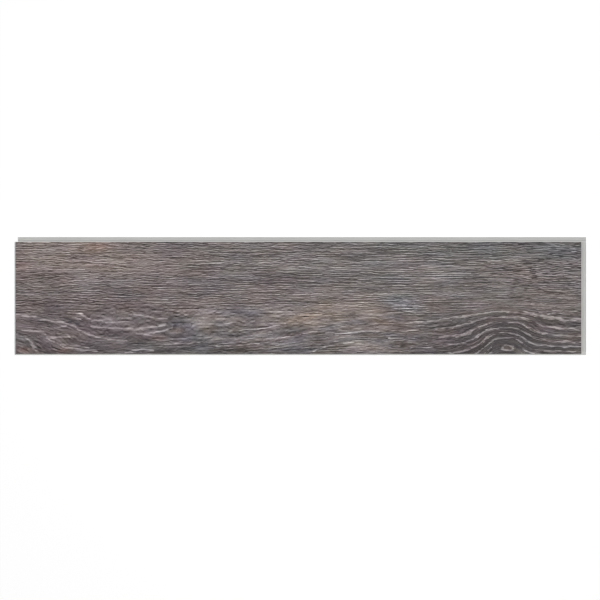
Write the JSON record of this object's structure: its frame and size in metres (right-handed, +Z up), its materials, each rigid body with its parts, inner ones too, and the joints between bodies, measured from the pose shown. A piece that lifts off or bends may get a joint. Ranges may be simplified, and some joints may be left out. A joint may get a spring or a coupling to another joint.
{
  "type": "herringbone vinyl plank",
  "caption": "Short rigid vinyl floor plank with a wood-grain print, click-lock lips along a long side and an end, and tongues along the opposite edges, for herringbone floors.",
  "frame": {"origin": "on the underside, below the centre of the printed face", "axes": "+X along the length towards the end with the lip, +Y across the width towards the long side with the lip, +Z up through the printed face"},
  "size_m": [0.6159, 0.1269, 0.005],
  "materials": {
    "core": "matte",
    "print": "matte"
  },
  "bodies": {
    "root": {"core_board": "core", "printed_face": "print"}
  },
  "joints": []
}
